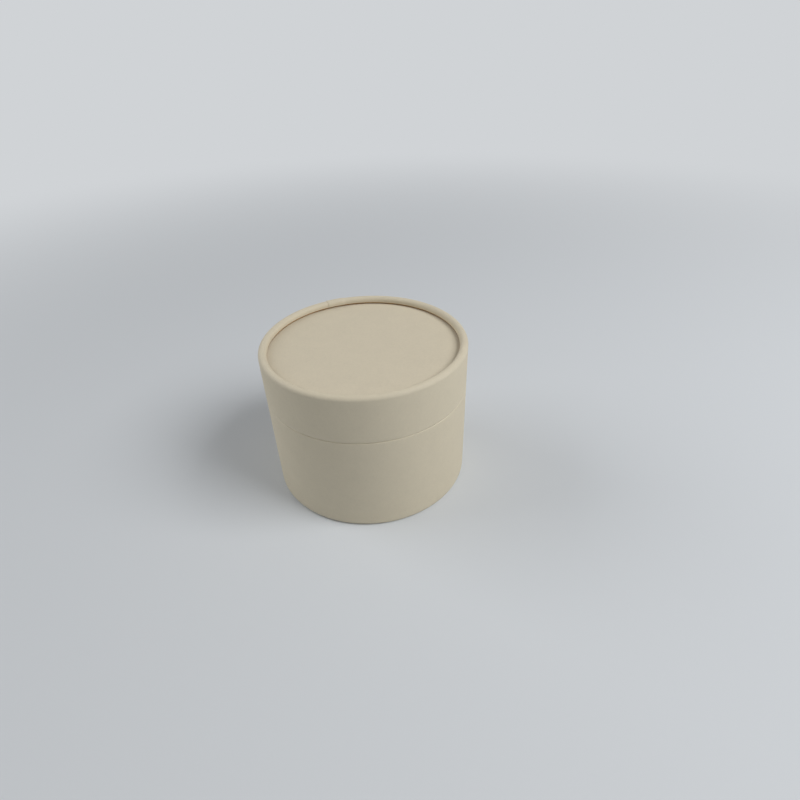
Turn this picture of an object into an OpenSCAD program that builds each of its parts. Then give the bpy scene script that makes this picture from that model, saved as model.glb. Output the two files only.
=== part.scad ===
// Round gift tube box: a curled-rim board tube in two halves.
// The lid slides down over an inner neck that is glued into the base, until the two mouths meet.
// Millimetres, +Z up, origin on the table under the middle of the box.

/* [Box] */
// Outside diameter over the cover paper
outer_d = 90; // [80:1:110]
// Height of the closed box, table to top of the rim
total_h = 68; // [67:0.5:110]
// Height of the seam between base and lid
seam_h = 46.5; // [30:0.5:47.5]

/* [Board] */
// Wall of the lid tube
lid_wall = 1.2; // [1:0.05:1.3]
// Wall of the neck tube
neck_wall = 1.2; // [0.8:0.1:2]
// Thickness of the top and bottom discs
disc_t = 2; // [1:0.1:3]

/* [Paper] */
// Cover paper on both halves and over the neck
cover_t = 0.2; // [0.15:0.05:0.2]
// Facing and lining papers
lining_t = 0.15; // [0.1:0.05:0.2]
// How far the cover paper turns in at each mouth
turn_in = 12; // [6:1:14]

/* [Rim] */
// Width of the curled rim, seen from above
curl_w = 3.6; // [3.3:0.1:4.4]
// Depth of each disc below its rim
recess = 3.4; // [2.6:0.1:4.6]
// How much the standing curl is pressed flat
foot_press = 0.1; // [0.05:0.01:0.12]

/* [Neck] */
// How far the neck stands up out of the base
neck_rise = 14.5; // [8:0.5:15.5]
// Running clearance all round between neck and lid
neck_gap = 0.15; // [0.1:0.05:0.25]

/* [Hidden] */
outer_r = outer_d / 2;
curl_r = curl_w / 2;
board_r = outer_r - cover_t;
// Rounding of the turned paper edge at the seam, and of the board under it
mouth_r = 0.35;
mouth_board_r = mouth_r - cover_t;
// Rounding of the cut end of the curl where it comes down on the disc
curl_end_r = 0.45;

// Lid bore over the turned-in paper, and the neck that runs in it
lid_bore_r = board_r - lid_wall - cover_t;
neck_r = lid_bore_r - neck_gap;
neck_board_r = neck_r - cover_t;
neck_bore_r = neck_board_r - neck_wall;
neck_top = seam_h + neck_rise;
// The base's wall is thicker than the lid's by the running clearance, so the neck sits tight in the base
base_wall = lid_wall + neck_gap;
// How far the neck's cover goes below the seam, and how far it turns in over the top edge
neck_cover_drop = 8;
neck_turn_in = 6;
// The neck's lining stops this far under the top edge
neck_lining_drop = 3;

// Levels of the discs and their papers
lid_face_z = total_h - recess;
lid_disc_z = lid_face_z - lining_t - disc_t;
base_face_z = recess - foot_press;
base_disc_z = base_face_z + lining_t;
floor_z = base_disc_z + disc_t;
disc_slack = 0.1;
lid_disc_r = board_r - lid_wall - disc_slack;
base_disc_r = board_r - base_wall - disc_slack;

PAPER = [0.87, 0.83, 0.73];
LINING = [0.93, 0.91, 0.86];
BOARD = [0.72, 0.66, 0.56];

$fn = 96;

// A rectangle in the wall's section, from its lower left corner to its upper right one
module block(r0, z0, r1, z1) {
    translate([r0, z0])
        square([r1 - r0, z1 - z0]);
}

// A wall's section whose lower end is rounded at both corners
module rounded_end(r0, z0, r1, z1, corner) {
    block(r0, z0 + corner, r1, z1);
    block(r0 + corner, z0, r1 - corner, z1);
    for (r = [r0 + corner, r1 - corner])
        translate([r, z0 + corner])
            circle(r = corner);
}

// One layer of a wall that curls over inwards at the top.
// The layer runs from z0 up the outside, over the curl at z_top, and down inside to z_end.
// inset is the depth of the layer's outer face under the cover paper's.
module curled_layer(inset, thick, z0, z_top, z_end) {
    bend_r = curl_r - inset;
    bend_z = z_top - curl_r;
    mid_r = outer_r - curl_r;
    block(outer_r - inset - thick, z0, outer_r - inset, bend_z);
    difference() {
        translate([mid_r, bend_z])
            circle(r = bend_r);
        translate([mid_r, bend_z])
            circle(r = bend_r - thick);
        block(mid_r - bend_r, bend_z - bend_r, mid_r + bend_r, bend_z);
    }
    block(mid_r - bend_r, z_end, mid_r - bend_r + thick, bend_z);
}

// The inner leg's cut end is rounded on the side that shows, over the disc
module curl_end_trim(z_end) {
    r_face = outer_r - curl_w;
    difference() {
        block(r_face - 1, z_end - 1, r_face + curl_end_r, z_end + curl_end_r);
        translate([r_face + curl_end_r, z_end + curl_end_r])
            circle(r = curl_end_r);
    }
}

// Section of the board tube of one half, mouth down at z_mouth and curl up at z_top
module tube_section(wall, z_mouth, z_top) {
    z_end = z_top - recess;
    end = z_mouth + cover_t;
    difference() {
        union() {
            curled_layer(cover_t, wall, end + mouth_board_r, z_top, z_end);
            rounded_end(board_r - wall, end, board_r, end + 1, mouth_board_r);
        }
        curl_end_trim(z_end);
    }
}

// Section of the cover paper: up the outside, over the curl, and turned in at the mouth
module wrap_section(wall, z_mouth, z_top) {
    z_end = z_top - recess;
    bore_r = board_r - wall;
    difference() {
        curled_layer(0, cover_t, z_mouth + mouth_r, z_top, z_end);
        curl_end_trim(z_end);
    }
    difference() {
        rounded_end(bore_r - cover_t, z_mouth, outer_r, z_mouth + turn_in, mouth_r);
        rounded_end(bore_r, z_mouth + cover_t, board_r, z_mouth + turn_in + 1, mouth_board_r);
    }
}

// Turns a section, drawn with its mouth at seam_h, into one half of the box
module lid_half() {
    rotate_extrude()
        children();
}

// The base is the same form the other way up, with its curl pressed flat where it stands
module base_half() {
    difference() {
        rotate_extrude()
            children();
        translate([-outer_r, -outer_r, -1])
            cube([outer_d, outer_d, 1]);
    }
}

// Maps a section drawn mouth down onto the base: mouth up at the seam, curl down on the table
module mouth_up() {
    translate([0, seam_h])
        mirror([0, 1])
            children();
}

module disc(radius, z, thick) {
    translate([0, 0, z])
        cylinder(r = radius, h = thick);
}

module base_wrap() {
    color(PAPER)
        base_half()
            mouth_up()
                wrap_section(base_wall, 0, seam_h + foot_press);
}

module base_tube() {
    color(BOARD)
        base_half()
            mouth_up()
                tube_section(base_wall, 0, seam_h + foot_press);
}

module base_bottom_board() {
    color(BOARD)
        disc(base_disc_r, base_disc_z, disc_t);
}

module base_bottom_facing() {
    color(PAPER)
        disc(base_disc_r, base_face_z, lining_t);
}

module base_floor_lining() {
    color(LINING)
        disc(neck_bore_r - lining_t - disc_slack, floor_z, lining_t);
}

module neck_tube() {
    color(BOARD)
        rotate_extrude()
            block(neck_bore_r, floor_z, neck_board_r, neck_top - cover_t);
}

// Paper over the part of the neck that shows, folded over its top edge
module neck_cover() {
    color(PAPER)
        rotate_extrude() {
            block(neck_board_r, seam_h - neck_cover_drop, neck_r, neck_top);
            block(neck_bore_r - cover_t, neck_top - cover_t, neck_r, neck_top);
            block(neck_bore_r - cover_t, neck_top - neck_turn_in, neck_bore_r, neck_top);
        }
}

// Lining of the bore, which laps over the turned-in edge of the neck's cover
module neck_lining() {
    lap_r = neck_bore_r - cover_t;
    lap_z = neck_top - neck_turn_in;
    color(LINING)
        rotate_extrude() {
            block(neck_bore_r - lining_t, floor_z, neck_bore_r, lap_z);
            block(lap_r - lining_t, lap_z - lining_t, neck_bore_r, lap_z);
            block(lap_r - lining_t, lap_z - lining_t, lap_r, neck_top - neck_lining_drop);
        }
}

module lid_wrap() {
    color(PAPER)
        lid_half()
            wrap_section(lid_wall, seam_h, total_h);
}

module lid_tube() {
    color(BOARD)
        lid_half()
            tube_section(lid_wall, seam_h, total_h);
}

module lid_top_board() {
    color(BOARD)
        disc(lid_disc_r, lid_disc_z, disc_t);
}

module lid_top_facing() {
    color(PAPER)
        disc(lid_disc_r, lid_face_z - lining_t, lining_t);
}

module lid_ceiling_lining() {
    color(LINING)
        disc(lid_disc_r, lid_disc_z - lining_t, lining_t);
}

base_wrap();
base_tube();
base_bottom_board();
base_bottom_facing();
base_floor_lining();
neck_tube();
neck_cover();
neck_lining();
lid_wrap();
lid_tube();
lid_top_board();
lid_top_facing();
lid_ceiling_lining();
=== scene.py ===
# %% [markdown]
# # A round gift tube box, finished in paper
#
# The box is wound board tube, curled over at both ends and covered in plain cream paper.
# A short lid slides down over an inner neck, so the closed box shows only paper, one rolled rim,
# a sunk top disc and a hairline seam. Nothing here is printed or textured with pictures. The look
# has to come from true paper edges, soft rounded bends and a matte, slightly fibrous finish.
#
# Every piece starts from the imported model, which fixes where each layer lies.

# %% Load the frame
import math

import bmesh
import bpy
from mathutils import Matrix, Vector


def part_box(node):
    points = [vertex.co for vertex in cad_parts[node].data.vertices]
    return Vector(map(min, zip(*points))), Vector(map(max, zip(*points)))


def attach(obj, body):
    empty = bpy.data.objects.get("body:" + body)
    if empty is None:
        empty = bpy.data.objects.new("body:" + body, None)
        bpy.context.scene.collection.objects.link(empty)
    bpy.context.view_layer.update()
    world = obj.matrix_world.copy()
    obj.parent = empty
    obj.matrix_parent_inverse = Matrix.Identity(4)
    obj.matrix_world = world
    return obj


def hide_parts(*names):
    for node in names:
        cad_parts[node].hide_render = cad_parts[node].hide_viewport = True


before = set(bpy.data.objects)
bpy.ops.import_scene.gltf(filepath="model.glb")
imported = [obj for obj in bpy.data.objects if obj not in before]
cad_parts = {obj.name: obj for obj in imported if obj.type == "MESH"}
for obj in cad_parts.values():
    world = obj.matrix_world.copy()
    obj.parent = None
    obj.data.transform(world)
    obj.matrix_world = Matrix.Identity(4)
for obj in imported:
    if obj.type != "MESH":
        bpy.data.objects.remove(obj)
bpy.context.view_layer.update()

# %% [markdown]
# ## Sizes
#
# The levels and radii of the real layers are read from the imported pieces, so that nothing has to be
# fitted afterwards. Only what a bounding box can't tell, such as a paper's thickness or the radius
# of a folded edge, is written here again, in metres.

# %% Sizes from the frame
MM = 0.001
SAME_POINT = 0.001 * MM


def outer_radius(node):
    """Half the width of a round piece along X."""
    low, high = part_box(node)
    return (high.x - low.x) / 2


def levels(node):
    """Lowest and highest level of a piece."""
    low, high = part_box(node)
    return low.z, high.z


OUTER_R = outer_radius("lid_wrap")
SEAM_Z, TOP_Z = levels("lid_wrap")
NECK_R = outer_radius("neck_cover")

COVER = 0.20 * MM
LINING = 0.15 * MM
LID_WALL = 1.20 * MM
BASE_WALL = 1.35 * MM
NECK_WALL = 1.20 * MM
CURL_R = 1.80 * MM
CURL_END_R = 0.45 * MM
MOUTH_R = 0.35 * MM
TURN_IN = 12.0 * MM
RECESS = 3.40 * MM
PAPER_SHORT = 0.80 * MM
FOOT_PRESS = 0.10 * MM
print(f"outer radius {OUTER_R / MM:.2f}, seam {SEAM_Z / MM:.2f}, top {TOP_Z / MM:.2f} mm")

# %% [markdown]
# ## The camera
#
# The camera comes first, because every later choice is judged through it. It stands where a phone
# held over the edge of a table would be: about 20 cm in front of the box's axis and 18 cm up. It
# is tipped down by about 36 degrees, a little turned to the right and a little rolled. The lens is
# a phone's wide one, which is why the sides of the box draw together towards the foot.

# %% Camera
CAMERA_AT = Vector((0.0, -198.92, 176.41)) * MM
LOOK_DOWN = math.radians(35.581)
TURN_RIGHT = math.radians(4.265)
ROLL = math.radians(-2.073)
LENS_MM = 23.432
NEAREST_SEEN = 10 * MM

camera = bpy.data.objects.new("camera", bpy.data.cameras.new("camera"))
bpy.context.scene.collection.objects.link(camera)
bpy.context.scene.camera = camera
camera.data.lens = LENS_MM
camera.data.clip_start = NEAREST_SEEN
aim = (
    Matrix.Rotation(-TURN_RIGHT, 4, "Z")
    @ Matrix.Rotation(math.pi / 2 - LOOK_DOWN, 4, "X")
    @ Matrix.Rotation(ROLL, 4, "Z")
)
camera.matrix_world = Matrix.Translation(CAMERA_AT) @ aim
print("camera", round((CAMERA_AT - Vector((0, 0, TOP_Z))).length, 3), "m from the rim's centre")

# %% [markdown]
# ## Drawing a section
#
# Every piece of a round box is one section taken round the axis. A section could be drawn by hand,
# but paper follows simple rules: it runs straight, and it bends in arcs of a known radius. So a
# section is put together from two words, `line` and `arc`. A section is the path of the face that
# shows, walked with the air on the left hand. Points are pairs of a radius and a level.

# %% Lines and arcs
def line(start, end, spacing=2.0 * MM):
    """Points along a straight stretch of a section, both ends included."""
    (r0, z0), (r1, z1) = start, end
    steps = max(1, round(math.hypot(r1 - r0, z1 - z0) / spacing))
    return [(r0 + (r1 - r0) * i / steps, z0 + (z1 - z0) * i / steps) for i in range(steps + 1)]


def arc(centre, radius, start, end, step=12):
    """Points along an arc of a section. Angles are in degrees, 0 outwards and 90 up."""
    steps = max(2, round(abs(end - start) / step))
    turn = [math.radians(start + (end - start) * i / steps) for i in range(steps + 1)]
    return [(centre[0] + radius * math.cos(a), centre[1] + radius * math.sin(a)) for a in turn]


def joined(*stretches):
    """One path out of several stretches, without the doubled points where they meet."""
    path = []
    for point in (p for stretch in stretches for p in stretch):
        if not path or math.dist(point, path[-1]) > SAME_POINT / 10:
            path.append(point)
    return path


print("a quarter turn of 1 mm:", len(arc((0, 0), 1 * MM, 0, 90)), "points")

# %% [markdown]
# A section becomes a chain of vertices in the XZ plane. Some facts travel with each vertex, because
# the later steps need them: which way the air lies, how far along the sheet it is, how sharply the
# sheet bends there, which is what edge wear and the painted highlight on bends follow, and how
# much of a lap's step shows there. The
# bend is 0 where the sheet runs straight and 1 where it turns on a radius of a millimetre or less.

# %% Section to vertices
SHARP_BEND_R = 1 * MM


def section_mesh(name, path, closed, share):
    """A chain of vertices that carries its air side, its length so far, its bend and lap share."""
    mesh = bpy.data.meshes.new(name)
    count = len(path)
    mesh.from_pydata([(r, 0, z) for r, z in path], [(i, i + 1) for i in range(count - 1)], [])
    air, along, bend = [], [0.0], []
    for i, here in enumerate(path):
        before = path[i - 1] if i else (path[-2] if closed else here)
        after = path[i + 1] if i < count - 1 else (path[1] if closed else here)
        came = math.atan2(here[1] - before[1], here[0] - before[0])
        goes = math.atan2(after[1] - here[1], after[0] - here[0])
        came, goes = (goes if here == before else came), (came if here == after else goes)
        turn = math.remainder(goes - came, math.tau)
        middle = came + turn / 2
        air += [-math.sin(middle), 0.0, math.cos(middle)]
        reach = (math.dist(before, here) + math.dist(here, after)) / 2
        bend.append(min(1.0, abs(turn) / max(reach, SAME_POINT) * SHARP_BEND_R))
        if i:
            along.append(along[-1] + math.dist(before, here))
    for label, kind, values in (
        ("air", "FLOAT_VECTOR", air),
        ("along", "FLOAT", along),
        ("bend", "FLOAT", bend),
        ("share", "FLOAT", [share(point) if share else 1.0 for point in path]),
    ):
        layer = mesh.attributes.new(label, kind, "POINT")
        layer.data.foreach_set("vector" if kind == "FLOAT_VECTOR" else "value", values)
    return mesh


# %% [markdown]
# ## Rolling a section round the axis
#
# A lathe tool such as Spin would make a perfect ring, but a cover paper is a flat sheet with two
# ends: it goes once round the tube and its end is glued down over its start. Geometry Nodes can
# state that as a rule. A grid is laid out with one row per section vertex and one column per step
# round the box. Each grid point fetches its section vertex, is lifted off along the air side where
# the sheet climbs on its own start, and is turned to its angle. Two kinds of unevenness are added
# the same way: `waver`, the soft unevenness of glued board, which only ever sinks below the true
# face, and `crimp`, the fine gathers of paper that has been rolled to a smaller radius.

# %% Small helpers for node trees
def wire(tree, socket, value):
    """Connects a socket to another node's output, or sets its plain value."""
    if isinstance(value, bpy.types.NodeSocket):
        tree.links.new(value, socket)
    else:
        socket.default_value = value


def add(tree, kind, inputs=None, **settings):
    """A node of a kind, with its settings made and its inputs wired by name or number."""
    made = tree.nodes.new(kind)
    for key, value in settings.items():
        setattr(made, key, value)
    for key, value in (inputs or {}).items():
        wire(tree, made.inputs[key], value)
    return made


def calc(tree, operation, *values):
    """The output of one Math node."""
    return add(tree, "ShaderNodeMath", dict(enumerate(values)), operation=operation).outputs[0]


def new_group(name, kind, inputs, outputs):
    """A node group with named sockets. Returns the group, its inputs and its output node."""
    tree = bpy.data.node_groups.new(name, kind)
    for label, socket_type, default in inputs:
        socket = tree.interface.new_socket(label, in_out="INPUT", socket_type=socket_type)
        if default is not None:
            socket.default_value = default
    for label, socket_type in outputs:
        tree.interface.new_socket(label, in_out="OUTPUT", socket_type=socket_type)
    return tree, tree.nodes.new("NodeGroupInput").outputs, tree.nodes.new("NodeGroupOutput")


# %% The rolling rule as a node tree
rolling, given, result = new_group(
    "roll_round_axis",
    "GeometryNodeTree",
    [
        ("Section", "NodeSocketGeometry", None),
        ("Columns", "NodeSocketInt", 288),
        ("Start Angle", "NodeSocketFloat", 0.0),
        ("Lap Angle", "NodeSocketFloat", 0.0),
        ("Lap Lift", "NodeSocketFloat", 0.0),
        ("Ramp Angle", "NodeSocketFloat", 0.03),
        ("Waver Depth", "NodeSocketFloat", 0.0),
        ("Waver Size", "NodeSocketFloat", 0.02),
        ("Crimp Depth", "NodeSocketFloat", 0.0),
        ("Crimp Count", "NodeSocketFloat", 220.0),
        ("Seed", "NodeSocketFloat", 0.0),
        ("Material", "NodeSocketMaterial", None),
    ],
    [("Sheet", "NodeSocketGeometry")],
)
SOCKETS = {s.name: s.identifier for s in rolling.interface.items_tree if s.in_out == "INPUT"}
rows = add(rolling, "GeometryNodeAttributeDomainSize", {0: given["Section"]}, component="MESH")
rows = rows.outputs["Point Count"]
grid = add(rolling, "GeometryNodeMeshGrid", {"Vertices X": given["Columns"], "Vertices Y": rows})

index = add(rolling, "GeometryNodeInputIndex").outputs[0]
column = calc(rolling, "FLOOR", calc(rolling, "DIVIDE", calc(rolling, "ADD", index, 0.5), rows))
row = calc(rolling, "SUBTRACT", index, calc(rolling, "MULTIPLY", column, rows))


def from_section(label, kind):
    """A value stored on the section, fetched for each grid point by its row."""
    if label == "position":
        value = add(rolling, "GeometryNodeInputPosition").outputs[0]
    else:
        stored = add(rolling, "GeometryNodeInputNamedAttribute", {"Name": label}, data_type=kind)
        value = stored.outputs["Attribute"]
    fetch = {"Geometry": given["Section"], "Value": value, "Index": row}
    return add(rolling, "GeometryNodeSampleIndex", fetch, data_type=kind).outputs["Value"]


# %% Angle and lap of each grid point
steps = calc(rolling, "SUBTRACT", given["Columns"], 1.0)
sweep = calc(rolling, "ADD", given["Lap Angle"], math.tau)
turned = calc(rolling, "MULTIPLY", calc(rolling, "DIVIDE", column, steps), sweep)
angle = calc(rolling, "ADD", turned, given["Start Angle"])
cosine = calc(rolling, "COSINE", angle)
sine = calc(rolling, "SINE", angle)

ramp_from = calc(rolling, "SUBTRACT", math.tau, given["Ramp Angle"])
climb = add(
    rolling,
    "ShaderNodeMapRange",
    {"Value": turned, "From Min": ramp_from, "From Max": math.tau, "To Max": given["Lap Lift"]},
    interpolation_type="SMOOTHSTEP",
).outputs[0]
lift = calc(rolling, "MULTIPLY", climb, from_section("share", "FLOAT"))

section_at = add(rolling, "ShaderNodeSeparateXYZ", {0: from_section("position", "FLOAT_VECTOR")})
section_air = add(rolling, "ShaderNodeSeparateXYZ", {0: from_section("air", "FLOAT_VECTOR")})
r0, z0 = section_at.outputs["X"], section_at.outputs["Z"]
across, up = section_air.outputs["X"], section_air.outputs["Z"]


# %% Unevenness of each grid point
def turned_place(radius, level):
    """The point at a radius and a level, turned to the column's angle."""
    parts = {
        0: calc(rolling, "MULTIPLY", radius, cosine),
        1: calc(rolling, "MULTIPLY", radius, sine),
        2: level,
    }
    return add(rolling, "ShaderNodeCombineXYZ", parts).outputs[0]


def sunk(vector, scale, depth):
    """Smooth noise from nothing down to minus the depth."""
    noise = add(
        rolling,
        "ShaderNodeTexNoise",
        {"Vector": vector, "Scale": scale, "Detail": 1.0, "Roughness": 0.5, "W": given["Seed"]},
        noise_dimensions="4D",
    )
    return calc(rolling, "MULTIPLY", calc(rolling, "SUBTRACT", noise.outputs[0], 1.0), depth)


GATHER_LENGTH = 2.5 * MM
waver_scale = calc(rolling, "DIVIDE", 1.0, given["Waver Size"])
waver = sunk(turned_place(r0, z0), waver_scale, given["Waver Depth"])
gather_radius = calc(rolling, "DIVIDE", given["Crimp Count"], math.tau)
along = from_section("along", "FLOAT")
gather_at = turned_place(gather_radius, calc(rolling, "MULTIPLY", along, 1 / GATHER_LENGTH))
bend = from_section("bend", "FLOAT")
crimp = sunk(gather_at, 1.0, calc(rolling, "MULTIPLY", given["Crimp Depth"], bend))
raised = calc(rolling, "ADD", calc(rolling, "ADD", lift, waver), crimp)
r1 = calc(rolling, "MAXIMUM", calc(rolling, "MULTIPLY_ADD", across, raised, r0), 0.0)
z1 = calc(rolling, "MULTIPLY_ADD", up, raised, z0)

# %% Lay the grid out, note its facts and close it
sheet = add(
    rolling,
    "GeometryNodeSetPosition",
    {"Geometry": grid.outputs["Mesh"], "Position": turned_place(r1, z1)},
).outputs[0]
flat_at = add(
    rolling, "ShaderNodeCombineXYZ", {0: calc(rolling, "MULTIPLY", turned, OUTER_R), 1: along}
).outputs[0]
air_at = turned_place(across, up)
for label, kind, value in (
    ("bend", "FLOAT", bend),
    ("flat", "FLOAT_VECTOR", flat_at),
    ("air", "FLOAT_VECTOR", air_at),
):
    sheet = add(
        rolling,
        "GeometryNodeStoreNamedAttribute",
        {"Geometry": sheet, "Name": label, "Value": value},
        data_type=kind,
        domain="POINT",
    ).outputs[0]
sheet = add(
    rolling, "GeometryNodeMergeByDistance", {"Geometry": sheet, "Distance": SAME_POINT}
).outputs[0]
sheet = add(rolling, "GeometryNodeRealizeInstances", {"Geometry": sheet}).outputs[0]
sheet = add(
    rolling, "GeometryNodeSetMaterial", {"Geometry": sheet, "Material": given["Material"]}
).outputs[0]
wire(rolling, result.inputs[0], sheet)
print("rolling rule:", len(rolling.nodes), "nodes")

# %% [markdown]
# ## Paper, as a surface
#
# Uncoated cover paper is not one flat colour. Held to the light it is cloudy, because the pulp
# settled unevenly. Its fibres show as faint short flecks and its face has a fine tooth. Wherever it
# is bent sharply it is rubbed a little smoother, and its colour is painted lighter there. That is
# partly rubbed paper and partly a painted highlight on every sharp bend, standing in for the light
# caught by the rim's crest and the folds at the seam. A picture of paper could be wrapped round the
# box, but it would blur close up and stretch over the curl. Here each effect is a noise at its real
# size, and they are put together in one group that every paper uses. It reads the sheet's own flat
# coordinates, so fibres follow the sheet and stop at its cut edges.

# %% The paper group
paper, paper_in, paper_out = new_group(
    "paper_surface",
    "ShaderNodeTree",
    [
        ("Flat Place", "NodeSocketVector", None),
        ("Bend", "NodeSocketFloat", 0.0),
        ("Tint", "NodeSocketColor", (0.8, 0.75, 0.6, 1)),
        ("Cloud", "NodeSocketFloat", 0.05),
        ("Fleck", "NodeSocketFloat", 0.05),
        # How much sharp bends are painted lighter: partly rubbed paper, partly a painted highlight.
        ("Rub And Highlight", "NodeSocketFloat", 0.05),
        ("Roughness", "NodeSocketFloat", 0.85),
    ],
    [("Color", "NodeSocketColor"), ("Roughness", "NodeSocketFloat"), ("Height", "NodeSocketFloat")],
)


def shade_noise(tree, vector, size, detail=2.0, stretch=None, turn=0.0, offset=0.0):
    """Noise whose features have a real size in metres. It can be stretched and turned."""
    scale = [1 / size] * 3 if stretch is None else [1 / size, 1 / stretch, 1 / size]
    turned_first = add(
        tree,
        "ShaderNodeMapping",
        {"Vector": vector, "Rotation": (0, 0, turn), "Location": (offset, offset, offset)},
    ).outputs[0]
    placed = add(tree, "ShaderNodeMapping", {"Vector": turned_first, "Scale": scale}).outputs[0]
    noise = add(tree, "ShaderNodeTexNoise", {"Vector": placed, "Scale": 1.0, "Detail": detail})
    return noise.outputs[0]


def spread(tree, value, low, high, to_low=0.0, to_high=1.0):
    """Maps a band of a value to another, held at its ends."""
    ends = {"Value": value, "From Min": low, "From Max": high, "To Min": to_low, "To Max": to_high}
    return add(tree, "ShaderNodeMapRange", ends, interpolation_type="SMOOTHSTEP").outputs[0]


def dimmed(tree, colour, factor):
    """A colour multiplied by a factor."""
    return add(
        tree, "ShaderNodeVectorMath", {0: colour, "Scale": factor}, operation="SCALE"
    ).outputs[0]


# %% Clouds, fibres and tooth
CLOUD_SIZE = 7 * MM
FINE_CLOUD_SIZE = 1.6 * MM
FIBRE_LENGTH = 1.5 * MM
FIBRE_WIDTH = 0.16 * MM
FIBRE_TURNS = (12, 71, 128)
TOOTH_SIZE = 0.22 * MM

place = paper_in["Flat Place"]
cloud = calc(
    paper,
    "ADD",
    calc(paper, "MULTIPLY", shade_noise(paper, place, CLOUD_SIZE), 0.55),
    calc(paper, "MULTIPLY", shade_noise(paper, place, FINE_CLOUD_SIZE, offset=0.3), 0.45),
)
fibres = [
    shade_noise(
        paper, place, FIBRE_LENGTH, stretch=FIBRE_WIDTH, turn=math.radians(t), offset=0.1 * i
    )
    for i, t in enumerate(FIBRE_TURNS)
]
fibre = calc(paper, "MAXIMUM", calc(paper, "MAXIMUM", fibres[0], fibres[1]), fibres[2])
tooth = shade_noise(paper, place, TOOTH_SIZE, detail=3.0)
relief = calc(
    paper, "ADD", calc(paper, "MULTIPLY", tooth, 0.6), calc(paper, "MULTIPLY", fibre, 0.4)
)
wire(paper, paper_out.inputs["Height"], relief)

# %% Colour and roughness of paper
RUB_HIGHLIGHT_PATCH_SIZE = 2.4 * MM
SMOOTHED_BY_BEND = 0.35

cloudy = calc(paper, "MULTIPLY", calc(paper, "SUBTRACT", cloud, 0.5), paper_in["Cloud"])
flecked = calc(paper, "MULTIPLY", spread(paper, fibre, 0.56, 0.72, 0.0, -1.0), paper_in["Fleck"])
# Sharp bends are painted lighter in soft patches: partly rubbed paper, partly a painted highlight
# where folds catch the light.
rub_highlight_noise = shade_noise(paper, place, RUB_HIGHLIGHT_PATCH_SIZE, detail=4.0, offset=0.7)
rub_highlight_patches = spread(paper, rub_highlight_noise, 0.42, 0.68, 0.5, 1.0)
sharp = calc(paper, "POWER", paper_in["Bend"], 2.0)
rubbed_and_painted_highlight = calc(paper, "MULTIPLY", calc(paper, "MULTIPLY", sharp, rub_highlight_patches), paper_in["Rub And Highlight"])
factor = calc(paper, "ADD", calc(paper, "ADD", cloudy, flecked), calc(paper, "ADD", 1.0, rubbed_and_painted_highlight))
wire(paper, paper_out.inputs["Color"], dimmed(paper, paper_in["Tint"], factor))
rough = calc(paper, "ADD", paper_in["Roughness"], calc(paper, "MULTIPLY", cloudy, 1.5))
smoothed = calc(paper, "MULTIPLY", paper_in["Bend"], SMOOTHED_BY_BEND)
wire(paper, paper_out.inputs["Roughness"], calc(paper, "SUBTRACT", rough, smoothed))
print("paper surface:", len(paper.nodes), "nodes")

# %% [markdown]
# ## Raw board
#
# Wound tube board is brown and disc board is grey. Both have long recycled fibres and dark specks,
# and the tube has the helical line where the plies of the winding meet. Board shows in two places:
# as the bare cut edge round each disc and, with the lid off, as a band inside the lid above the
# turned-in paper. Its group reads plain object coordinates.

# %% The board group
board, board_in, board_out = new_group(
    "board_surface",
    "ShaderNodeTree",
    [
        ("Place", "NodeSocketVector", None),
        ("Tint", "NodeSocketColor", (0.45, 0.38, 0.28, 1)),
        ("Ply Line", "NodeSocketFloat", 0.0),
    ],
    [("Color", "NodeSocketColor"), ("Roughness", "NodeSocketFloat"), ("Height", "NodeSocketFloat")],
)
PLY_PITCH = 32 * MM
at = add(board, "ShaderNodeSeparateXYZ", {0: board_in["Place"]}).outputs
round_share = calc(board, "DIVIDE", calc(board, "ARCTAN2", at["Y"], at["X"]), math.tau)
wound = calc(board, "MULTIPLY_ADD", at["Z"], 1 / PLY_PITCH, round_share)
off_line = calc(board, "ABSOLUTE", calc(board, "SUBTRACT", calc(board, "FRACT", wound), 0.5))
ply = calc(board, "MULTIPLY", spread(board, off_line, 0.006, 0.018, 1.0, 0.0), board_in["Ply Line"])

# %% Pulp, specks and strands
PULP_SIZE = 2.2 * MM
SPECK_SIZE = 0.45 * MM
STRAND_LENGTH = 3.0 * MM
STRAND_WIDTH = 0.3 * MM

pulp = shade_noise(board, board_in["Place"], PULP_SIZE, detail=4.0)
speck = spread(board, shade_noise(board, board_in["Place"], SPECK_SIZE, detail=1.0), 0.68, 0.74)
strand = shade_noise(board, board_in["Place"], STRAND_LENGTH, stretch=STRAND_WIDTH, detail=2.0)
dark = calc(board, "ADD", calc(board, "MULTIPLY", speck, 0.35), calc(board, "MULTIPLY", ply, 0.4))
light = calc(board, "MULTIPLY_ADD", calc(board, "ADD", pulp, strand), 0.22, 0.78)
shade = calc(board, "SUBTRACT", light, dark)
wire(board, board_out.inputs["Color"], dimmed(board, board_in["Tint"], shade))
wire(board, board_out.inputs["Roughness"], calc(board, "MULTIPLY_ADD", pulp, 0.1, 0.86))
height = calc(board, "SUBTRACT", strand, calc(board, "MULTIPLY", ply, 2.0))
wire(board, board_out.inputs["Height"], height)
print("board surface:", len(board.nodes), "nodes")

# %% [markdown]
# ## The materials
#
# Each finish is one material. The shader itself stays in the material and the groups only feed it.
# Colours are written as they should render on a surface in full light.

# %% Materials
def linear(red, green, blue):
    """A colour written in screen values from 0 to 255, as the linear colour that nodes use."""
    def channel(value):
        value /= 255
        return value / 12.92 if value <= 0.04045 else ((value + 0.055) / 1.055) ** 2.4

    return (channel(red), channel(green), channel(blue), 1.0)


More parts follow.
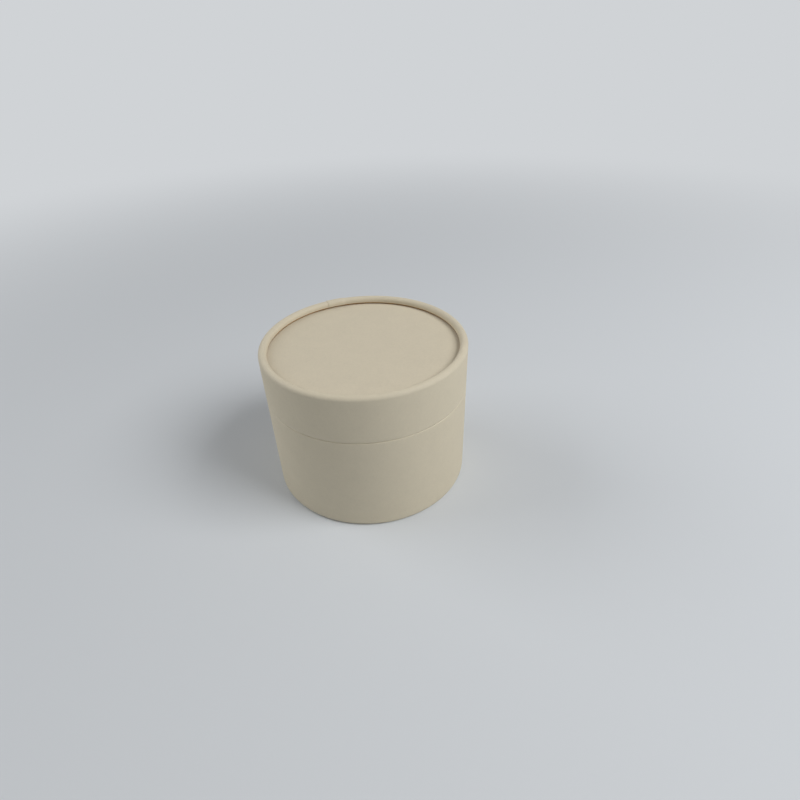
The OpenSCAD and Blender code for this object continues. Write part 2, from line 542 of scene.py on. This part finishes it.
def new_material(name, group, values, relief_depth, specular):
    """A matte material fed by one of the surface groups."""
    material = bpy.data.materials.new(name)
    material.use_nodes = True
    tree = material.node_tree
    shader = tree.nodes["Principled BSDF"]
    shader.inputs["Specular IOR Level"].default_value = specular
    surface = tree.nodes.new("ShaderNodeGroup")
    surface.node_tree = group
    for label, value in values.items():
        surface.inputs[label].default_value = value
    if group is paper:
        for label, attribute, output in (("Flat Place", "flat", "Vector"), ("Bend", "bend", "Fac")):
            stored = add(tree, "ShaderNodeAttribute", attribute_name=attribute)
            tree.links.new(stored.outputs[output], surface.inputs[label])
    else:
        here = add(tree, "ShaderNodeTexCoord").outputs["Object"]
        tree.links.new(here, surface.inputs["Place"])
    bump = add(
        tree,
        "ShaderNodeBump",
        {"Strength": 1.0, "Distance": relief_depth, "Height": surface.outputs["Height"]},
    )
    tree.links.new(surface.outputs["Color"], shader.inputs["Base Color"])
    tree.links.new(surface.outputs["Roughness"], shader.inputs["Roughness"])
    tree.links.new(bump.outputs[0], shader.inputs["Normal"])
    return material


# %% The five finishes
def paper_look(tint, cloud, fleck, rubbed_highlight_amount, roughness):
    """The values of one kind of paper, for the paper group's inputs."""
    return {
        "Tint": linear(*tint),
        "Cloud": cloud,
        "Fleck": fleck,
        "Rub And Highlight": rubbed_highlight_amount,
        "Roughness": roughness,
    }


# Each paper's bend value paints its sharp bends lighter: partly rubbed paper, partly a painted
# highlight.
COVER_LOOK = paper_look((213, 203, 180), cloud=0.10, fleck=0.05, rubbed_highlight_amount=0.08, roughness=0.80)
DISC_LOOK = paper_look((214, 204, 182), cloud=0.12, fleck=0.06, rubbed_highlight_amount=0.06, roughness=0.82)
LINING_LOOK = paper_look((226, 222, 210), cloud=0.06, fleck=0.04, rubbed_highlight_amount=0.05, roughness=0.78)
TUBE_LOOK = {"Tint": linear(172, 134, 88), "Ply Line": 1.0}
DISC_BOARD_LOOK = {"Tint": linear(172, 165, 152)}

cover_paper = new_material("cover_paper", paper, COVER_LOOK, 0.012 * MM, specular=0.5)
disc_paper = new_material("disc_paper", paper, DISC_LOOK, 0.012 * MM, specular=0.35)
lining_paper = new_material("lining_paper", paper, LINING_LOOK, 0.010 * MM, specular=0.35)
tube_board = new_material("tube_board", board, TUBE_LOOK, 0.03 * MM, specular=0.25)
disc_board = new_material("disc_board", board, DISC_BOARD_LOOK, 0.03 * MM, specular=0.25)
finishes = (cover_paper, disc_paper, lining_paper, tube_board, disc_board)
print("finishes:", ", ".join(material.name for material in finishes))

# %% [markdown]
# ## From a section to a finished piece
#
# One function makes every piece. It rolls the section, turns the node result into a plain mesh,
# checks that the faces look at the air, gives a paper its thickness with Solidify on the hidden
# side, and marks real cut edges sharp while bends stay smooth. The piece then takes the place of
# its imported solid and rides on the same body.

# %% A plain mesh that faces the air
def plain_mesh(piece):
    """The piece's mesh with its modifiers worked in."""
    graph = bpy.context.evaluated_depsgraph_get()
    mesh = bpy.data.meshes.new_from_object(
        piece.evaluated_get(graph), preserve_all_data_layers=True, depsgraph=graph
    )
    piece.modifiers.clear()
    piece.data = mesh
    return mesh


def face_the_air(mesh):
    """Merges doubles and turns all faces to the air side that the rolling rule noted."""
    shape = bmesh.new()
    shape.from_mesh(mesh)
    bmesh.ops.remove_doubles(shape, verts=shape.verts, dist=SAME_POINT)
    bmesh.ops.recalc_face_normals(shape, faces=shape.faces)
    air = shape.verts.layers.float_vector["air"]
    agree = sum(f.normal.dot(f.verts[0][air]) * f.calc_area() for f in shape.faces)
    if agree < 0:
        bmesh.ops.reverse_faces(shape, faces=shape.faces)
    shape.to_mesh(mesh)
    shape.free()


# %% Roll, thicken and hand over
SHARP_ANGLE = math.radians(40)


def make(name, body, slot, node, path, material, thickness=0.0, closed=False, share=None, **sizes):
    """Rolls one piece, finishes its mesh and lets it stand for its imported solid."""
    piece = bpy.data.objects.new(name, section_mesh(name, path, closed, share))
    bpy.context.scene.collection.objects.link(piece)
    rule = piece.modifiers.new("rule", "NODES")
    rule.node_group = rolling
    rule[SOCKETS["Material"]] = material
    for label, value in sizes.items():
        rule[SOCKETS[label.replace("_", " ").title()]] = value
    mesh = plain_mesh(piece)
    face_the_air(mesh)
    if thickness:
        wall = piece.modifiers.new("wall", "SOLIDIFY")
        wall.thickness = thickness
        wall.offset = -1
        wall.use_even_offset = True
        mesh = plain_mesh(piece)
    mesh.name = name
    mesh.attributes.remove(mesh.attributes["air"])
    mesh.polygons.foreach_set("use_smooth", [True] * len(mesh.polygons))
    mesh.set_sharp_from_angle(angle=SHARP_ANGLE)
    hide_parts(node)
    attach(piece, body)
    print(f"{name}: {len(mesh.polygons)} faces")
    return piece


# %% [markdown]
# ## The two halves
#
# The lid and the base are the same form, one of them upside down. A half is drawn once, mouth down
# and curl up: the paper starts near the curl's cut end, goes up inside, over the curl, down the
# outside, round the mouth and up the bore. `depth` is how deep under the paper's face a layer lies,
# so the same function draws the board tube as well. Rolling draws the paper back a little, so it
# ends just short of the board's cut end, and the bare brown edge makes the dark line round the
# disc. The base's curl is pressed flat where it stands.

# %% Sections of a half
def half_face(depth, wall, mouth, top, end):
    """The face of a layer of one half, from its end inside the curl to the mouth's inner corner."""
    middle = OUTER_R - CURL_R
    bend_z = top - CURL_R
    leg_r = middle - CURL_R + depth
    bore = OUTER_R - COVER - wall - COVER
    mouth_z = mouth + MOUTH_R
    return joined(
        end,
        line((leg_r, end[-1][1]), (leg_r, bend_z), 0.5 * MM),
        arc((middle, bend_z), CURL_R - depth, 180, 0, step=10),
        line((OUTER_R - depth, bend_z), (OUTER_R - depth, mouth_z), 1.5 * MM),
        arc((OUTER_R - MOUTH_R, mouth_z), MOUTH_R - depth, 0, -90, step=15),
        arc((bore + MOUTH_R, mouth_z), MOUTH_R - depth, -90, -180, step=15),
    )


def half_cover(wall, mouth, top):
    """The cover paper's face: the half's face and the turn-in up the bore."""
    bore = OUTER_R - COVER - wall - COVER
    end = [(OUTER_R - 2 * CURL_R, top - RECESS + PAPER_SHORT)]
    return joined(
        half_face(0, wall, mouth, top, end), line((bore, mouth + MOUTH_R), (bore, mouth + TURN_IN))
    )


def half_board(wall, mouth, top):
    """The board tube's whole outline, closed round its bore side and the curl's hollow side."""
    middle, bend_z, leg_end = OUTER_R - CURL_R, top - CURL_R, top - RECESS
    bore = OUTER_R - COVER - wall
    hollow = CURL_R - COVER - wall
    corner = (OUTER_R - 2 * CURL_R + CURL_END_R, leg_end + CURL_END_R)
    face = half_face(COVER, wall, mouth, top, arc(corner, CURL_END_R - COVER, 270, 180))
    return joined(
        face,
        line((bore, mouth + MOUTH_R), (bore, bend_z)),
        arc((middle, bend_z), hollow, 0, 180, step=20),
        line((middle - hollow, bend_z), (middle - hollow, leg_end), 1.0 * MM),
        line((middle - hollow, leg_end), face[0]),
    )


def as_base(path, depth):
    """A half's path turned over for the base, and pressed flat where it stands on the table."""
    return joined([(r, max(SEAM_Z - z, depth)) for r, z in reversed(path)])


print("lid cover:", len(half_cover(LID_WALL, SEAM_Z, TOP_Z)), "points in its section")

# %% [markdown]
# ### Cover papers
#
# The laps run up the back. They are not in line, since lid and base are wrapped one by one. A lap
# makes a step as thick as the paper. The step is fainter where the paper is pressed: in the bore,
# where the neck is pushed in, and at the foot, where the box stands on it.

# %% How much of a lap's step shows
PRESSED = 0.3
FOOT_PRESSED = 0.1
FOOT_FADE = 2 * MM
BORE_MARGIN = 0.05 * MM
CLEAR_OF_CURL = 5 * MM
lid_bore = OUTER_R - 2 * COVER - LID_WALL
base_bore = OUTER_R - 2 * COVER - BASE_WALL


def lid_share(point):
    """The step's share on the lid's cover: a part of it in the bore, all of it outside."""
    in_bore = point[0] < lid_bore + BORE_MARGIN and point[1] < TOP_Z - CLEAR_OF_CURL
    return PRESSED if in_bore else 1.0


def base_share(point):
    """The step's share on the base's cover, which also fades towards the foot."""
    in_bore = point[0] < base_bore + BORE_MARGIN and point[1] > CLEAR_OF_CURL
    return PRESSED if in_bore else min(1.0, FOOT_PRESSED + point[1] / FOOT_FADE)


# %% The lid's and the base's cover
LAP = 8.0 * MM / OUTER_R
STEP = COVER + 0.01 * MM
COVER_COLUMNS = 480
uneven = {"waver_depth": 0.09 * MM, "waver_size": 22 * MM, "crimp_depth": 0.02 * MM}

make(
    "lid_cover", "lid", "cover_paper", "lid_wrap",
    half_cover(LID_WALL, SEAM_Z, TOP_Z), cover_paper, thickness=COVER,
    share=lid_share, columns=COVER_COLUMNS, start_angle=math.radians(102),
    lap_angle=LAP, lap_lift=STEP, seed=3.1, **uneven,
)
make(
    "base_cover", "base", "cover_paper", "base_wrap",
    as_base(half_cover(BASE_WALL, 0, SEAM_Z + FOOT_PRESS), 0), cover_paper, thickness=COVER,
    share=base_share, columns=COVER_COLUMNS, start_angle=math.radians(70),
    lap_angle=LAP, lap_lift=STEP, seed=7.4, **uneven,
)

# %% [markdown]
# ### Board tubes
#
# The wound tubes are closed outlines, so they need no thickness and no lap.

# %% The wound tubes
TUBE_COLUMNS = 241

make(
    "lid_board", "lid", "tube_board", "lid_tube",
    half_board(LID_WALL, SEAM_Z, TOP_Z), tube_board, closed=True, columns=TUBE_COLUMNS,
)
make(
    "base_board", "base", "tube_board", "base_tube",
    as_base(half_board(BASE_WALL, 0, SEAM_Z + FOOT_PRESS), COVER), tube_board, closed=True,
    columns=TUBE_COLUMNS,
)

# %% [markdown]
# ### The neck
#
# The neck is a plain board tube. Its cover is folded over the top edge, and the lining of the bore
# laps over the fold's cut edge. Paper can't turn a square corner there, so it steps up softly.

# %% Measures of the neck
NECK_FOLD_R = 0.30 * MM
NECK_TURN_IN = 6.0 * MM
NECK_PAPER_COLUMNS = 400
neck_low = levels("neck_tube")[0]
cover_low, cover_high = levels("neck_cover")
lining_low, lining_high = levels("neck_lining")
neck_board_r = NECK_R - COVER
neck_bore = neck_board_r - NECK_WALL
fold_z = cover_high - NECK_FOLD_R
fold_out, fold_in = NECK_R - NECK_FOLD_R, neck_bore - COVER + NECK_FOLD_R
print(f"neck: outer radius {NECK_R / MM:.2f}, bore radius {neck_bore / MM:.2f} mm")

# %% The neck and its cover
make(
    "neck_board", "base", "tube_board", "neck_tube",
    joined(
        line((neck_bore, neck_low), (neck_bore, fold_z)),
        arc((fold_in, fold_z), NECK_FOLD_R - COVER, 180, 90, step=30),
        arc((fold_out, fold_z), NECK_FOLD_R - COVER, 90, 0, step=30),
        line((neck_board_r, fold_z), (neck_board_r, neck_low)),
        line((neck_board_r, neck_low), (neck_bore, neck_low)),
    ),
    tube_board, closed=True, columns=TUBE_COLUMNS,
)
make(
    "neck_paper", "base", "cover_paper", "neck_cover",
    joined(
        line((neck_bore - COVER, cover_high - NECK_TURN_IN), (neck_bore - COVER, fold_z)),
        arc((fold_in, fold_z), NECK_FOLD_R, 180, 90, step=15),
        arc((fold_out, fold_z), NECK_FOLD_R, 90, 0, step=15),
        line((NECK_R, fold_z), (NECK_R, cover_low)),
    ),
    cover_paper, thickness=COVER, columns=NECK_PAPER_COLUMNS, start_angle=math.radians(134),
    lap_angle=LAP, lap_lift=0.06 * MM, seed=5.2, waver_depth=0.04 * MM, waver_size=18 * MM,
)

# %% The neck's lining, with its soft step over the fold's edge
SOFT_STEP = 1.2 * MM
SOFT_POINTS = 8
step_low = cover_high - NECK_TURN_IN - SOFT_STEP
step_in = neck_bore - LINING - COVER
soft = [
    (neck_bore - LINING - COVER * (3 * t * t - 2 * t ** 3), step_low + SOFT_STEP * t)
    for t in (i / SOFT_POINTS for i in range(SOFT_POINTS + 1))
]
make(
    "neck_bore_paper", "base", "lining_paper", "neck_lining",
    joined(
        line((neck_bore - LINING, lining_low), (neck_bore - LINING, step_low)),
        soft,
        line((step_in, step_low + SOFT_STEP), (step_in, lining_high)),
    ),
    lining_paper, thickness=LINING, columns=NECK_PAPER_COLUMNS, start_angle=math.radians(80),
    lap_angle=LAP, lap_lift=LINING * 0.6, seed=6.6, waver_depth=0.05 * MM, waver_size=20 * MM,
)

# %% [markdown]
# ### Discs
#
# A disc is punched, so its edge is square and only slightly rounded. Glued paper on board is never
# quite flat: it sinks by a few hundredths of a millimetre, and never by more than its rounding, or
# the two faces of the thin sheet would cross there. A disc is rolled round the axis like the other
# pieces, but its paper was never bent, so its flat coordinates are simply its place.

# %% Outline of a disc
def disc_outline(node, edge):
    """A disc's outline, from the axis over its upper face and round its edge to the axis again."""
    radius = outer_radius(node)
    low, high = levels(node)
    return joined(
        line((0, high), (radius - edge, high), 2.5 * MM),
        arc((radius - edge, high - edge), edge, 90, 0, step=30),
        line((radius, high - edge), (radius, low + edge), 1.0 * MM),
        arc((radius - edge, low + edge), edge, 0, -90, step=30),
        line((radius - edge, low), (0, low), 2.5 * MM),
    )


# %% The six discs
DISC_COLUMNS = 289
BOARD_EDGE, BOARD_WAVER = 0.1 * MM, 0.0
PAPER_EDGE, PAPER_WAVER = 0.05 * MM, 0.03 * MM
DISCS = (
    ("lid_disc", "lid", "disc_board", "lid_top_board", disc_board),
    ("lid_face", "lid", "cover_paper", "lid_top_facing", disc_paper),
    ("lid_ceiling", "lid", "lining_paper", "lid_ceiling_lining", lining_paper),
    ("base_disc", "base", "disc_board", "base_bottom_board", disc_board),
    ("base_face", "base", "cover_paper", "base_bottom_facing", disc_paper),
    ("floor_paper", "base", "lining_paper", "base_floor_lining", lining_paper),
)
for number, (name, body, slot, node, material) in enumerate(DISCS):
    is_board = material == disc_board
    edge = BOARD_EDGE if is_board else PAPER_EDGE
    depth = BOARD_WAVER if is_board else PAPER_WAVER
    disc = make(
        name, body, slot, node, disc_outline(node, edge), material,
        columns=DISC_COLUMNS, seed=number + 1.5, waver_depth=depth, waver_size=26 * MM,
    )
    flat = [c for v in disc.data.vertices for c in (v.co.x, v.co.y, v.co.z)]
    disc.data.attributes["flat"].data.foreach_set("vector", flat)

# %% [markdown]
# ## Floor, light and background
#
# The box stands on a pale matte table. One large soft lamp at the right, a little in front, gives
# the box its shape. A wider one, far off at the left, keeps that side open, and the sky fills the
# rest. A table that runs to a hard horizon would draw a dark band behind the box, so it fades with
# distance into the colour of the background. Camera rays and reflections show that colour. Rays
# that only gather light don't, so it adds nothing to the paper but a faint sheen.

# %% Table
TABLE_HALF = 6.0
CORNERS = ((-1, -1), (1, -1), (1, 1), (-1, 1))
floor_mesh = bpy.data.meshes.new("table")
floor_mesh.from_pydata(
    [(TABLE_HALF * x, TABLE_HALF * y, 0) for x, y in CORNERS], [], [(0, 1, 2, 3)]
)
table = bpy.data.objects.new("table", floor_mesh)
bpy.context.scene.collection.objects.link(table)
table_paint = bpy.data.materials.new("table_paint")
table_paint.use_nodes = True
ground = table_paint.node_tree
paint = ground.nodes["Principled BSDF"]
paint.inputs["Base Color"].default_value = linear(216, 220, 224)
paint.inputs["Roughness"].default_value = 0.7
paint.inputs["Specular IOR Level"].default_value = 0.2
floor_mesh.materials.append(table_paint)
print("table:", 2 * TABLE_HALF, "m wide")

# %% The table's fade into the background
BACKDROP = linear(208, 211, 214)
FADE_FROM = 0.22
FADE_TO = 0.80


def seen_rays(tree):
    """One for rays that show a surface itself, nothing for rays that only gather light."""
    rays = add(tree, "ShaderNodeLightPath").outputs
    return calc(tree, "MAXIMUM", rays["Is Camera Ray"], rays["Is Glossy Ray"])


ground_at = add(ground, "ShaderNodeTexCoord").outputs["Object"]
reach = add(ground, "ShaderNodeVectorMath", {0: ground_at}, operation="LENGTH").outputs["Value"]
fade = calc(ground, "MULTIPLY", spread(ground, reach, FADE_FROM, FADE_TO), seen_rays(ground))
haze = add(ground, "ShaderNodeEmission", {"Color": BACKDROP, "Strength": 1.0}).outputs[0]
blend = add(ground, "ShaderNodeMixShader", {0: fade, 1: paint.outputs[0], 2: haze}).outputs[0]
ground.links.new(blend, ground.nodes["Material Output"].inputs["Surface"])

# %% Sky
SKY_LIGHT = 0.20
world = bpy.data.worlds.new("studio")
bpy.context.scene.world = world
world.use_nodes = True
sky = world.node_tree
sky.nodes.clear()
ambient = add(sky, "ShaderNodeBackground", {"Color": (1, 1, 1, 1), "Strength": SKY_LIGHT})
backdrop = add(sky, "ShaderNodeBackground", {"Color": BACKDROP, "Strength": 1.0})
either = add(
    sky, "ShaderNodeMixShader", {0: seen_rays(sky), 1: ambient.outputs[0], 2: backdrop.outputs[0]}
)
sky_out = add(sky, "ShaderNodeOutputWorld")
sky.links.new(either.outputs[0], sky_out.inputs["Surface"])
print("sky: light", SKY_LIGHT, "of white")

# %% Lamps
AIM_AT = Vector((0, 0, TOP_Z * 0.6))


def lamp(name, at, size, watts):
    """A square soft lamp that looks at the box, a little above its middle."""
    light = bpy.data.lights.new(name, "AREA")
    light.shape = "SQUARE"
    light.size = size
    light.energy = watts
    holder = bpy.data.objects.new(name, light)
    bpy.context.scene.collection.objects.link(holder)
    turn = (AIM_AT - Vector(at)).to_track_quat("-Z", "Y").to_matrix().to_4x4()
    holder.matrix_world = Matrix.Translation(at) @ turn
    print(f"{name}: {watts} W from {(AIM_AT - Vector(at)).length:.2f} m")


lamp("key", at=(0.70, -0.32, 0.84), size=0.6, watts=7.9)
lamp("left_fill", at=(-1.60, 0.50, 1.10), size=1.4, watts=13.0)

bpy.context.scene.view_settings.view_transform = "Standard"
